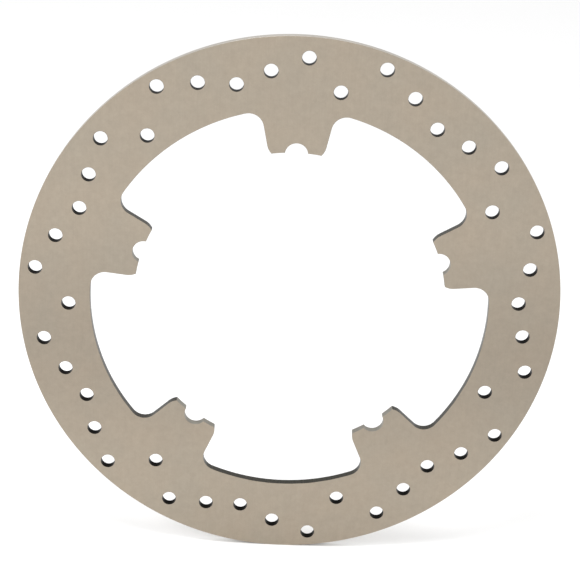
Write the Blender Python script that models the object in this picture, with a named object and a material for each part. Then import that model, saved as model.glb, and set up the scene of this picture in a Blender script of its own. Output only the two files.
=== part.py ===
"""Floating brake disc rotor for a motorcycle front wheel, cut from one flat stainless plate.

The axle line is the Y axis and the outer face looks along -Y. The origin is the centre of the disc at
half its thickness, and the first mounting lug stands on +Z. Lengths are in metres. Angles are in
radians, counted clockwise from +Z as seen from the outer side, so +X is at a quarter turn.
"""

from math import atan2, cos, pi, radians, sin

import bmesh
import bpy
from mathutils import Vector
from mathutils.geometry import intersect_line_sphere_2d, intersect_sphere_sphere_2d

# The plate and its friction ring.
THICKNESS = 0.0050
OUTER_RADIUS = 0.1500
RING_INNER_RADIUS = 0.1105
EDGE_BREAK = 0.0001

# Five lugs reach inwards from the ring. Each is symmetric about its own radial centreline.
LUG_COUNT = 5
LUG_TIP_RADIUS = 0.0864
LUG_HALF_WIDTH = 0.01595
LUG_HALF_WIDTH_AT = 0.0900
LUG_FLARE = radians(12.2)
LUG_CORNER_RADIUS = 0.0096
LUG_ROOT_FILLET = 0.0082

# A half-round notch in each lug's tip takes the drive bobbin.
NOTCH_CIRCLE_RADIUS = 0.0854
NOTCH_RADIUS = 0.00625

# Drilled holes, at an even angle from one to the next. Their radii repeat after each group.
HOLE_RADIUS = 0.0039
HOLE_GROUP = (0.1385, 0.1225, 0.1416, 0.1340, 0.1270, 0.1315)
HOLE_GROUP_REPEATS = 7
FIRST_HOLE_ANGLE = radians(1.83)

# Flats on each whole circle, and on each stretch of the inner outline.
OUTER_FLATS = 160
HOLE_FLATS = 20
NOTCH_QUARTER_FLATS = 6
TIP_FLATS = 2
CORNER_FLATS = 3
FILLET_FLATS = 5
RING_ARC_FLATS = 20

STEEL_COLOUR = (0.45, 0.39, 0.31, 1.0)
STEEL_ROUGHNESS = 0.45
SHARP_ANGLE = radians(30)


def clear_scene():
    for obj in list(bpy.data.objects):
        bpy.data.objects.remove(obj, do_unlink=True)


def polar(radius, angle):
    """The point at this radius and angle, as (x, z)."""
    return Vector((radius * sin(angle), radius * cos(angle)))


def angle_of(point):
    return atan2(point.x, point.y)


def arc(centre, radius, start, end, flats):
    """Points along an arc from one angle to another, with both its ends."""
    return [centre + polar(radius, start + (end - start) * i / flats) for i in range(flats + 1)]


def circle(centre, radius, flats):
    return arc(centre, radius, 0.0, 2 * pi, flats)[:-1]


def rightmost(points):
    return max(points, key=lambda point: point.x)


def half_lug(inset):
    """The right half of the lug on +Z, from the notch's top to the ring, moved this far into the metal.

    Every arc keeps its centre as the outline moves, so only the radii change.
    """
    axle = Vector((0.0, 0.0))
    notch_centre = Vector((0.0, NOTCH_CIRCLE_RADIUS))
    notch_radius = NOTCH_RADIUS + inset
    tip_radius = LUG_TIP_RADIUS + inset
    corner_radius = LUG_CORNER_RADIUS - inset
    fillet_radius = LUG_ROOT_FILLET + inset

    flank = Vector((sin(LUG_FLARE), cos(LUG_FLARE)))
    outwards = Vector((cos(LUG_FLARE), -sin(LUG_FLARE)))
    flank_foot = Vector((LUG_HALF_WIDTH, LUG_HALF_WIDTH_AT))
    corner_centre = flank_foot - outwards * LUG_CORNER_RADIUS

    fillet_line = flank_foot + outwards * LUG_ROOT_FILLET
    fillet_centre = rightmost(
        intersect_line_sphere_2d(
            fillet_line, fillet_line + flank, axle, RING_INNER_RADIUS - LUG_ROOT_FILLET, False
        )
    )

    notch_mouth = rightmost(
        intersect_sphere_sphere_2d(notch_centre, notch_radius, axle, tip_radius)
    )
    tip_end = rightmost(
        intersect_sphere_sphere_2d(corner_centre, corner_radius, axle, tip_radius)
    )
    mouth_from_notch = angle_of(notch_mouth - notch_centre)
    tip_from_corner = angle_of(tip_end - corner_centre)
    across_flank = angle_of(outwards)

    notch = arc(notch_centre, notch_radius, 0.0, mouth_from_notch, NOTCH_QUARTER_FLATS)
    tip = arc(axle, tip_radius, angle_of(notch_mouth), angle_of(tip_end), TIP_FLATS)
    corner = arc(corner_centre, corner_radius, tip_from_corner, across_flank, CORNER_FLATS)
    fillet = arc(
        fillet_centre, fillet_radius, across_flank - pi, angle_of(fillet_centre), FILLET_FLATS
    )
    return notch + tip[1:] + corner[1:] + fillet


def inner_outline(inset):
    """The whole inner edge of the plate, clockwise from the top of the first lug's notch."""
    half = half_lug(inset)
    ring_start = angle_of(half[-1])
    pitch = 2 * pi / LUG_COUNT
    gap = arc(
        Vector((0.0, 0.0)), RING_INNER_RADIUS + inset, ring_start, pitch - ring_start, RING_ARC_FLATS
    )
    mirrored = [polar(point.length, pitch - angle_of(point)) for point in reversed(half[1:])]
    one_pitch = half + gap[1:-1] + mirrored
    outline = []
    for lug in range(LUG_COUNT):
        outline += [polar(point.length, angle_of(point) + lug * pitch) for point in one_pitch]
    return outline


def hole_centres():
    count = len(HOLE_GROUP) * HOLE_GROUP_REPEATS
    for i in range(count):
        yield polar(HOLE_GROUP[i % len(HOLE_GROUP)], FIRST_HOLE_ANGLE + 2 * pi * i / count)


def edge_outlines(inset):
    """Every edge of the plate as a closed loop of points, each moved this far into the metal."""
    outlines = [circle(Vector((0.0, 0.0)), OUTER_RADIUS - inset, OUTER_FLATS)]
    outlines.append(inner_outline(inset))
    outlines += [circle(centre, HOLE_RADIUS + inset, HOLE_FLATS) for centre in hole_centres()]
    return outlines


def loop_of_vertices(bm, outline, depth):
    return [bm.verts.new((point.x, depth, point.y)) for point in outline]


def join_loops(bm, first, second):
    """A band of four-sided faces between two loops of the same length."""
    for i in range(len(first)):
        bm.faces.new((first[i - 1], first[i], second[i], second[i - 1]))


def fill_face(bm, loops):
    """One flat face of the plate, with the inner loops left open."""
    edges = [bm.edges.get((loop[i - 1], loop[i])) for loop in loops for i in range(len(loop))]
    bmesh.ops.triangle_fill(bm, use_beauty=True, use_dissolve=False, edges=edges)


def plate_mesh():
    """The plate with a small 45 degree break along every edge."""
    half = THICKNESS / 2
    sections = (
        (-half, EDGE_BREAK),
        (-half + EDGE_BREAK, 0.0),
        (half - EDGE_BREAK, 0.0),
        (half, EDGE_BREAK),
    )
    bm = bmesh.new()
    levels = []
    for depth, inset in sections:
        levels.append([loop_of_vertices(bm, outline, depth) for outline in edge_outlines(inset)])
    for lower, upper in zip(levels, levels[1:]):
        for first, second in zip(lower, upper):
            join_loops(bm, first, second)
    fill_face(bm, levels[0])
    fill_face(bm, levels[-1])
    bmesh.ops.recalc_face_normals(bm, faces=bm.faces)

    mesh = bpy.data.meshes.new("rotor_disc")
    bm.to_mesh(mesh)
    bm.free()
    mesh.shade_smooth()
    mesh.set_sharp_from_angle(angle=SHARP_ANGLE)
    return mesh


def ground_steel():
    material = bpy.data.materials.new("ground_stainless_steel")
    material.use_nodes = True
    shader = material.node_tree.nodes["Principled BSDF"]
    shader.inputs["Base Color"].default_value = STEEL_COLOUR
    shader.inputs["Metallic"].default_value = 1.0
    shader.inputs["Roughness"].default_value = STEEL_ROUGHNESS
    return material


def make_rotor():
    mesh = plate_mesh()
    mesh.materials.append(ground_steel())
    rotor = bpy.data.objects.new("rotor_disc", mesh)
    bpy.context.scene.collection.objects.link(rotor)
    return rotor


clear_scene()
make_rotor()
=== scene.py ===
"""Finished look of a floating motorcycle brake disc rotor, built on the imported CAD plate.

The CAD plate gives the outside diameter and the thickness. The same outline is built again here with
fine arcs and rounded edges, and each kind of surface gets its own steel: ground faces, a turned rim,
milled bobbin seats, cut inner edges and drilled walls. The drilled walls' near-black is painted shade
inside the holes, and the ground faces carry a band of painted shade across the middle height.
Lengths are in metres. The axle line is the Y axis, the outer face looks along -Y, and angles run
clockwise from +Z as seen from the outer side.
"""

from math import atan2, cos, pi, radians, sin

import bmesh
import bpy
from mathutils import Euler, Matrix, Vector
from mathutils.geometry import delaunay_2d_cdt, intersect_line_sphere_2d, intersect_sphere_sphere_2d


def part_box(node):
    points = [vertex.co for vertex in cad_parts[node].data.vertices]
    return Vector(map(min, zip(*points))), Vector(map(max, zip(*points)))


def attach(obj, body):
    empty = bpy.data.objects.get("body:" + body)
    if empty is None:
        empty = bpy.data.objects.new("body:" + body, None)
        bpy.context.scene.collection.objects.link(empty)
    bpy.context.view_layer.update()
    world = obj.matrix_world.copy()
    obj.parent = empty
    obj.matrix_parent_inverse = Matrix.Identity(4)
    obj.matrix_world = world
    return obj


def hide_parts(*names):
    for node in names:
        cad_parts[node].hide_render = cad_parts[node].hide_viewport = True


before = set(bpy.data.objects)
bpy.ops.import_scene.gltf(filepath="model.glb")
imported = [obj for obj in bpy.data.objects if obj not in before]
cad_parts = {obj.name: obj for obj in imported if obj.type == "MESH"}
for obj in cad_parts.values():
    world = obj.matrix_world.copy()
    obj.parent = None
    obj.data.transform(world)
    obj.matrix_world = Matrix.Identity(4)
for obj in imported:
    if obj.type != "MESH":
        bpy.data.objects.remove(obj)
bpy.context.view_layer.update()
plate_low, plate_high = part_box("rotor_disc")

# The plate and its friction ring.
THICKNESS = plate_high.y - plate_low.y
OUTER_RADIUS = (plate_high.x - plate_low.x) / 2
RING_INNER_RADIUS = 0.1105
EDGE_ROUND = 0.0001

# Five lugs, each symmetric about its own radial centreline, with a half-round notch in the tip.
LUG_COUNT = 5
LUG_TIP_RADIUS = 0.0864
LUG_HALF_WIDTH = 0.01595
LUG_HALF_WIDTH_AT = 0.0900
LUG_FLARE = radians(12.2)
LUG_CORNER_RADIUS = 0.0096
LUG_ROOT_FILLET = 0.0082
NOTCH_CIRCLE_RADIUS = 0.0854
NOTCH_RADIUS = 0.00625

# Drilled holes, at an even angle from one to the next. Their radii repeat after each group.
HOLE_RADIUS = 0.0039
HOLE_GROUP = (0.1385, 0.1225, 0.1416, 0.1340, 0.1270, 0.1315)
HOLE_GROUP_REPEATS = 7
FIRST_HOLE_ANGLE = radians(1.83)

# Flats on each whole circle, on each stretch of the inner outline, and round each edge.
OUTER_FLATS = 720
HOLE_FLATS = 64
NOTCH_QUARTER_FLATS = 20
TIP_FLATS = 6
CORNER_FLATS = 10
FILLET_FLATS = 14
RING_ARC_FLATS = 80
EDGE_FLATS = 3
SHARP_ANGLE = radians(40)

# The notch and the tip are milled, from a lug's centreline as far as the corner.
MILLED_FLATS = NOTCH_QUARTER_FLATS + TIP_FLATS

# Places of the rim and the inner edge among the plate's outlines. All later ones are drilled holes.
RIM = 0
INNER_EDGE = 1

# A flat face is filled inside its rim and left open inside its other outlines.
INSIDE_WITH_OPENINGS = 2
SAME_POINT = 1e-7

# The Mix node's colour sockets share their names with its other sockets, so they go by number.
MIX_FIRST_COLOUR = 6
MIX_SECOND_COLOUR = 7
MIX_RESULT_COLOUR = 2

# The gloss of the near-black walls, on the cut edges and on the drilled walls where the near-black is
# painted shade, is slightly warm, and that of bare steel is white.
DARK_GLOSS = (1.0, 0.93, 0.76)
WHITE_GLOSS = (1.0, 1.0, 1.0)

# Machined steel where an edge has been rubbed.
RUBBED_STEEL = (0.34, 0.325, 0.30)

# Painted shade on the ground faces: a darker band, deepest at this height and even again this far above
# and below it, standing in for uneven light on the faces.
PAINTED_SHADE_BAND = 0.87
PAINTED_SHADE_BAND_AT = -0.030
PAINTED_SHADE_BAND_REACH = 0.088

# The camera stands in front of the outer face and looks down at it, with the plate turned a little
# clockwise in its view. The frame keeps a lug on +Z, so the camera is turned about the axle line instead.
CAMERA_PLACE = Vector((0.0022, -0.9269, 0.3423))
CAMERA_TILT = radians(70.116)
CAMERA_PAN = radians(0.116)
PLATE_TURN = radians(2.56)
LENS_MM = 110.42

# A round pale table under the rim.
FLOOR_RADIUS = 1.9
FLOOR_FLATS = 128
FLOOR_COLOUR = (0.9, 0.9, 0.9)


def polar(radius, angle):
    """The point at this radius and angle, as (x, z)."""
    return Vector((radius * sin(angle), radius * cos(angle)))


def angle_of(point):
    return atan2(point.x, point.y)


def arc(centre, radius, start, end, flats):
    """Points along an arc from one angle to another, with both its ends."""
    return [centre + polar(radius, start + (end - start) * i / flats) for i in range(flats + 1)]


def circle(centre, radius, flats):
    return arc(centre, radius, 0.0, 2 * pi, flats)[:-1]


def rightmost(points):
    return max(points, key=lambda point: point.x)


def half_lug(inset):
    """The right half of the lug on +Z, from the notch's top to the ring, moved this far into the metal."""
    axle = Vector((0.0, 0.0))
    notch_centre = Vector((0.0, NOTCH_CIRCLE_RADIUS))
    notch_radius = NOTCH_RADIUS + inset
    tip_radius = LUG_TIP_RADIUS + inset
    corner_radius = LUG_CORNER_RADIUS - inset
    fillet_radius = LUG_ROOT_FILLET + inset

    flank = Vector((sin(LUG_FLARE), cos(LUG_FLARE)))
    outwards = Vector((cos(LUG_FLARE), -sin(LUG_FLARE)))
    flank_foot = Vector((LUG_HALF_WIDTH, LUG_HALF_WIDTH_AT))
    corner_centre = flank_foot - outwards * LUG_CORNER_RADIUS

    fillet_line = flank_foot + outwards * LUG_ROOT_FILLET
    fillet_centre = rightmost(
        intersect_line_sphere_2d(
            fillet_line, fillet_line + flank, axle, RING_INNER_RADIUS - LUG_ROOT_FILLET, False
        )
    )

    notch_mouth = rightmost(
        intersect_sphere_sphere_2d(notch_centre, notch_radius, axle, tip_radius)
    )
    tip_end = rightmost(
        intersect_sphere_sphere_2d(corner_centre, corner_radius, axle, tip_radius)
    )
    mouth_from_notch = angle_of(notch_mouth - notch_centre)
    tip_from_corner = angle_of(tip_end - corner_centre)
    across_flank = angle_of(outwards)

    notch = arc(notch_centre, notch_radius, 0.0, mouth_from_notch, NOTCH_QUARTER_FLATS)
    tip = arc(axle, tip_radius, angle_of(notch_mouth), angle_of(tip_end), TIP_FLATS)
    corner = arc(corner_centre, corner_radius, tip_from_corner, across_flank, CORNER_FLATS)
    fillet = arc(
        fillet_centre, fillet_radius, across_flank - pi, angle_of(fillet_centre), FILLET_FLATS
    )
    return notch + tip[1:] + corner[1:] + fillet


def inner_pitch(inset):
    """One fifth of the inner edge, clockwise from the top of one notch to just short of the next."""
    half = half_lug(inset)
    ring_start = angle_of(half[-1])
    pitch = 2 * pi / LUG_COUNT
    gap = arc(
        Vector((0.0, 0.0)), RING_INNER_RADIUS + inset, ring_start, pitch - ring_start, RING_ARC_FLATS
    )
    mirrored = [polar(point.length, pitch - angle_of(point)) for point in reversed(half[1:])]
    return half + gap[1:-1] + mirrored


def inner_outline(inset):
    pitch = 2 * pi / LUG_COUNT
    one_pitch = inner_pitch(inset)
    outline = []
    for lug in range(LUG_COUNT):
        outline += [polar(point.length, angle_of(point) + lug * pitch) for point in one_pitch]
    return outline


def hole_centres():
    count = len(HOLE_GROUP) * HOLE_GROUP_REPEATS
    for i in range(count):
        yield polar(HOLE_GROUP[i % len(HOLE_GROUP)], FIRST_HOLE_ANGLE + 2 * pi * i / count)


def edge_outlines(inset):
    """Every edge of the plate as a closed loop of points, each moved this far into the metal.

    The rim comes first, then the inner edge, then each drilled hole.
    """
    outlines = [circle(Vector((0.0, 0.0)), OUTER_RADIUS - inset, OUTER_FLATS)]
    outlines.append(inner_outline(inset))
    outlines += [circle(centre, HOLE_RADIUS + inset, HOLE_FLATS) for centre in hole_centres()]
    return outlines


def edge_sections():
    """(depth, inset) of each level from the outer face to the inner one, round both edges."""
    half = THICKNESS / 2
    turns = [pi / 2 * i / EDGE_FLATS for i in range(EDGE_FLATS + 1)]
    outer = [(-half + EDGE_ROUND * (1 - cos(t)), EDGE_ROUND * (1 - sin(t))) for t in turns]
    return outer + [(-depth, inset) for depth, inset in reversed(outer)]


def wall_zone(loop_index, i, points_per_pitch):
    """The name of the steel on one flat of a wall."""
    if loop_index == RIM:
        return "turned"
    if loop_index > INNER_EDGE:
        return "drilled"
    place = i % points_per_pitch
    milled = place < MILLED_FLATS or place >= points_per_pitch - MILLED_FLATS
    return "milled" if milled else "cut"


def join_loops(bm, first, second, slots):
    """A band of four-sided faces between two loops, with the material slot of each."""
    for i in range(len(first)):
        face = bm.faces.new((first[i - 1], first[i], second[i], second[i - 1]))
        face.material_index = slots[i - 1]


def fill_face(bm, loops, slot):
    """One flat face of the plate. The first loop is the rim, and every other loop is left open."""
    corners = [vertex for loop in loops for vertex in loop]
    points = [Vector((vertex.co.x, vertex.co.z)) for vertex in corners]
    outlines = []
    start = 0
    for loop in loops:
        anticlockwise = range(start + len(loop) - 1, start - 1, -1)
        outlines.append(list(anticlockwise))
        start += len(loop)
    _, _, triangles, sources, _, _ = delaunay_2d_cdt(
        points, [], outlines, INSIDE_WITH_OPENINGS, SAME_POINT
    )
    for triangle in triangles:
        face = bm.faces.new([corners[sources[point][0]] for point in triangle])
        face.material_index = slot


def plate_mesh(slot_of):
    """The whole plate as one closed mesh. slot_of gives each steel's material slot."""
    points_per_pitch = len(inner_pitch(0.0))
    sections = edge_sections()
    bm = bmesh.new()
    levels = []
    for depth, inset in sections:
        loops = []
        for outline in edge_outlines(inset):
            loops.append([bm.verts.new((point.x, depth, point.y)) for point in outline])
        levels.append(loops)
    for lower, upper in zip(levels, levels[1:]):
        for loop_index, (first, second) in enumerate(zip(lower, upper)):
            zones = [wall_zone(loop_index, i, points_per_pitch) for i in range(len(first))]
            join_loops(bm, first, second, [slot_of[zone] for zone in zones])
    fill_face(bm, levels[0], slot_of["ground"])
    fill_face(bm, levels[-1], slot_of["ground"])
    bmesh.ops.recalc_face_normals(bm, faces=bm.faces)
    mesh = bpy.data.meshes.new("rotor_plate")
    bm.to_mesh(mesh)
    bm.free()
    mesh.shade_smooth()
    mesh.set_sharp_from_angle(angle=SHARP_ANGLE)
    return mesh


class Steel:
    """A node-based steel. Its methods add nodes and pass on their output sockets."""

    def __init__(self, name, metallic, specular, gloss):
        self.material = bpy.data.materials.new(name)
        self.material.use_nodes = True
        self.tree = self.material.node_tree
        self.shader = self.tree.nodes["Principled BSDF"]
        self.shader.inputs["Metallic"].default_value = metallic
        self.shader.inputs["Specular IOR Level"].default_value = specular
        self.shader.inputs["Specular Tint"].default_value = (*gloss, 1.0)
        self.place = self.tree.nodes.new("ShaderNodeTexCoord").outputs["Object"]

    def link(self, source, target):
        self.tree.links.new(source, target)

    def put_colour(self, colour, target):
        """A colour is either a tuple or an output socket."""
        if isinstance(colour, tuple):
            target.default_value = (*colour, 1.0)
        else:
            self.link(colour, target)

    def noise(self, per_metre, detail=2.0, roughness=0.5):
        """Noise with this many features per metre along X, Y and Z."""
        mapping = self.tree.nodes.new("ShaderNodeMapping")
        mapping.inputs["Scale"].default_value = per_metre
        node = self.tree.nodes.new("ShaderNodeTexNoise")
        node.inputs["Scale"].default_value = 1.0
        node.inputs["Detail"].default_value = detail
        node.inputs["Roughness"].default_value = roughness
        self.link(self.place, mapping.inputs["Vector"])
        self.link(mapping.outputs["Vector"], node.inputs["Vector"])
        return node.outputs["Fac"]

    def between(self, source, low, high, from_low=0.3, from_high=0.7):
        """The source's range spread over low to high. Noise lies mostly from 0.3 to 0.7."""
        node = self.tree.nodes.new("ShaderNodeMapRange")
        node.inputs["From Min"].default_value = from_low
        node.inputs["From Max"].default_value = from_high
        node.inputs["To Min"].default_value = low
        node.inputs["To Max"].default_value = high
        self.link(source, node.inputs["Value"])
        return node.outputs["Result"]

    def blend(self, share, first, second):
        node = self.tree.nodes.new("ShaderNodeMix")
        node.data_type = "RGBA"
        self.link(share, node.inputs["Factor"])
        self.put_colour(first, node.inputs[MIX_FIRST_COLOUR])
        self.put_colour(second, node.inputs[MIX_SECOND_COLOUR])
        return node.outputs[MIX_RESULT_COLOUR]

    def times(self, colour, factor):
        node = self.tree.nodes.new("ShaderNodeVectorMath")
        node.operation = "SCALE"
        self.link(colour, node.inputs[0])
        self.link(factor, node.inputs["Scale"])
        return node.outputs["Vector"]

    def varied(self, colour, source, share):
        """The colour made darker and lighter by up to this share, as the source goes from low to high."""
        return self.times(colour, self.between(source, 1.0 - share, 1.0 + share))

    def distance_from(self, axis, value):
        """How far each point's coordinate on this axis is from a value."""
        place = self.tree.nodes.new("ShaderNodeSeparateXYZ")
        self.link(self.place, place.inputs["Vector"])
        offset = self.tree.nodes.new("ShaderNodeMath")
        offset.operation = "SUBTRACT"
        offset.inputs[1].default_value = value
        self.link(place.outputs[axis], offset.inputs[0])
        distance = self.tree.nodes.new("ShaderNodeMath")
        distance.operation = "ABSOLUTE"
        self.link(offset.outputs["Value"], distance.inputs[0])
        return distance.outputs["Value"]

    def band(self, height, reach, factor):
        """This factor at one height on the plate, rising smoothly to 1 at the reach above and below it."""
        distance = self.distance_from("Z", height)
        result = self.between(distance, factor, 1.0, from_low=0.0, from_high=reach)
        result.node.interpolation_type = "SMOOTHSTEP"
        return result

    def worn_edges(self, share):
        """Up to this share, in patches, where a wall rounds over into either flat face."""
        face = THICKNESS / 2
        from_middle = self.distance_from("Y", 0.0)
        near_face = self.between(from_middle, 0.0, share, from_low=face - EDGE_ROUND, from_high=face)
        patches = self.noise((140, 140, 140), detail=4.0, roughness=0.65)
        rubbed = self.tree.nodes.new("ShaderNodeMath")
        rubbed.operation = "MULTIPLY"
        self.link(near_face, rubbed.inputs[0])
        self.link(self.between(patches, 0.2, 1.0, from_low=0.4, from_high=0.6), rubbed.inputs[1])
        return rubbed.outputs["Value"]

    def finish(self, colour, roughness, height, depth, strength):
        """Link the colour and roughness, add a bump of this depth in metres, and return the material."""
        self.link(colour, self.shader.inputs["Base Color"])
        self.link(roughness, self.shader.inputs["Roughness"])
        bump = self.tree.nodes.new("ShaderNodeBump")
        bump.inputs["Distance"].default_value = depth
        bump.inputs["Strength"].default_value = strength
        self.link(height, bump.inputs["Height"])
        self.link(bump.outputs["Normal"], self.shader.inputs["Normal"])
        return self.material


def ground_steel():
    """Flat faces: satin, finely mottled, with weak straight grinding lines along Z, and a band of painted
    shade across the middle height.
    """
    steel = Steel("ground_steel", metallic=1.0, specular=0.5, gloss=WHITE_GLOSS)
    patches = steel.between(steel.noise((28, 28, 28), detail=3.0), 0.0, 1.0)
    mottle = steel.noise((260, 260, 260), detail=5.0, roughness=0.8)
    lines = steel.noise((1700, 1700, 45), detail=3.0, roughness=0.6)
    grain = steel.noise((2600, 2600, 1400))
    colour = steel.blend(patches, (0.363, 0.309, 0.245), (0.348, 0.305, 0.247))
    colour = steel.varied(colour, mottle, 0.06)
    colour = steel.varied(colour, lines, 0.033)
    # Painted shade: a darker band across the middle height of the ground faces.
    colour = steel.times(colour, steel.band(PAINTED_SHADE_BAND_AT, PAINTED_SHADE_BAND_REACH, PAINTED_SHADE_BAND))
    roughness = steel.between(lines, 0.42, 0.50)
    return steel.finish(colour, roughness, grain, depth=0.00002, strength=0.5)


def turned_steel():
    """Outer rim, with fine feed lines round it."""
    steel = Steel("turned_steel", metallic=1.0, specular=0.5, gloss=WHITE_GLOSS)
    feed = steel.noise((40, 7000, 40))
    patches = steel.between(steel.noise((60, 200, 60), detail=3.0), 0.0, 1.0)
    colour = steel.blend(patches, (0.485, 0.45, 0.395), (0.425, 0.39, 0.34))
    colour = steel.varied(colour, feed, 0.07)
    colour = steel.blend(steel.worn_edges(0.5), colour, RUBBED_STEEL)
    roughness = steel.between(feed, 0.30, 0.42)
    return steel.finish(colour, roughness, feed, depth=0.00003, strength=0.5)


def milled_steel():
    """Bobbin seats and lug tips, with cutter lines through the thickness."""
    steel = Steel("milled_steel", metallic=1.0, specular=0.5, gloss=WHITE_GLOSS)
    cutter = steel.noise((2400, 60, 2400))
    patches = steel.between(steel.noise((220, 220, 220), detail=3.0), 0.0, 1.0)
    colour = steel.blend(patches, (0.265, 0.248, 0.211), (0.20, 0.188, 0.158))
    colour = steel.varied(colour, cutter, 0.12)
    colour = steel.blend(steel.worn_edges(0.5), colour, RUBBED_STEEL)
    roughness = steel.between(cutter, 0.35, 0.48)
    return steel.finish(colour, roughness, cutter, depth=0.00004, strength=0.6)


def cut_steel():
    """Inner edge of the ring and the lug flanks: near-black, with ridges through the thickness."""
    steel = Steel("cut_steel", metallic=0.0, specular=0.10, gloss=DARK_GLOSS)
    ridges = steel.noise((2000, 90, 2000), detail=3.0, roughness=0.6)
    patches = steel.between(steel.noise((160, 400, 160), detail=3.0), 0.0, 1.0)
    colour = steel.blend(patches, (0.020, 0.018, 0.012), (0.013, 0.012, 0.008))
    colour = steel.varied(colour, ridges, 0.3)
    colour = steel.blend(steel.worn_edges(0.9), colour, (0.32, 0.285, 0.225))
    roughness = steel.between(ridges, 0.18, 0.32)
    return steel.finish(colour, roughness, ridges, depth=0.00003, strength=0.5)


def drilled_painted_shade_steel():
    """Hole walls: darkest of all, a near-black, nearly glossless non-metal as painted shade inside the
    holes, with feed rings round them.
    """
    steel = Steel("drilled_painted_shade_steel", metallic=0.0, specular=0.008, gloss=DARK_GLOSS)
    feed = steel.noise((60, 5200, 60))
    patches = steel.between(steel.noise((300, 500, 300), detail=3.0), 0.0, 1.0)
    # Painted shade: near-black colour standing in for the shade inside the drilled holes.
    colour = steel.blend(patches, (0.0036, 0.0029, 0.0018), (0.0020, 0.0016, 0.0010))
    colour = steel.varied(colour, feed, 0.4)
    colour = steel.blend(steel.worn_edges(0.4), colour, (0.06, 0.054, 0.045))
    roughness = steel.between(feed, 0.18, 0.30)
    return steel.finish(colour, roughness, feed, depth=0.00002, strength=0.4)


def make_plate():
    makers = {
        "ground": ground_steel,
        "turned": turned_steel,
        "milled": milled_steel,
        "cut": cut_steel,
        "drilled": drilled_painted_shade_steel,
    }
    slot_of = {name: i for i, name in enumerate(makers)}
    mesh = plate_mesh(slot_of)
    for maker in makers.values():
        mesh.materials.append(maker())
    plate = bpy.data.objects.new("rotor_plate", mesh)
    bpy.context.scene.collection.objects.link(plate)
    normals = plate.modifiers.new("face_normals", "WEIGHTED_NORMAL")
    normals.keep_sharp = True
    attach(plate, "root")
    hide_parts("rotor_disc")
    return plate


def make_camera():
    data = bpy.data.cameras.new("camera")
    data.lens = LENS_MM
    camera = bpy.data.objects.new("camera", data)
    bpy.context.scene.collection.objects.link(camera)
    aim = Matrix.Translation(CAMERA_PLACE) @ Euler((CAMERA_TILT, 0.0, CAMERA_PAN)).to_matrix().to_4x4()
    camera.matrix_world = Matrix.Rotation(-PLATE_TURN, 4, "Y") @ aim
    bpy.context.scene.camera = camera


def make_world():
    world = bpy.data.worlds.new("white_studio")
    world.use_nodes = True
    background = world.node_tree.nodes["Background"]
    background.inputs["Color"].default_value = (1.0, 1.0, 1.0, 1.0)
    background.inputs["Strength"].default_value = 1.0
    bpy.context.scene.world = world


def make_softbox(name, place, target, size, power):
    """A square light of this side in metres and power in watts, facing its target."""
    data = bpy.data.lights.new(name, "AREA")
    data.shape = "SQUARE"
    data.size = size
    data.energy = power
    light = bpy.data.objects.new(name, data)
    light.location = place
    aim = Vector(target) - Vector(place)
    light.rotation_euler = aim.to_track_quat("-Z", "Y").to_euler()
    bpy.context.scene.collection.objects.link(light)


def make_floor():
    bpy.ops.mesh.primitive_circle_add(
        vertices=FLOOR_FLATS, radius=FLOOR_RADIUS, fill_type="NGON", location=(0.0, 0.0, plate_low.z)
    )
    floor = bpy.context.object
    floor.name = "floor"
    material = bpy.data.materials.new("pale_floor")
    material.use_nodes = True
    shader = material.node_tree.nodes["Principled BSDF"]
    shader.inputs["Base Color"].default_value = (*FLOOR_COLOUR, 1.0)
    shader.inputs["Roughness"].default_value = 0.9
    shader.inputs["Specular IOR Level"].default_value = 0.1
    floor.data.materials.append(material)


make_camera()
make_world()
make_plate()
make_floor()
make_softbox("key", place=(-1.3, -0.6, 0.7), target=(0.0, 0.0, 0.0), size=0.9, power=6.0)
make_softbox(
    "table_fill", place=(-0.15, -0.35, 0.9), target=(-0.08, -0.05, -0.15), size=0.4, power=4.5
)
make_softbox("back_fill", place=(0.0, 1.0, 1.6), target=(0.0, 0.6, -0.15), size=1.5, power=2.0)
make_softbox("far_fill", place=(0.0, -2.4, 1.2), target=(0.0, -1.6, -0.15), size=1.0, power=10.0)
bpy.context.scene.view_settings.view_transform = "Standard"
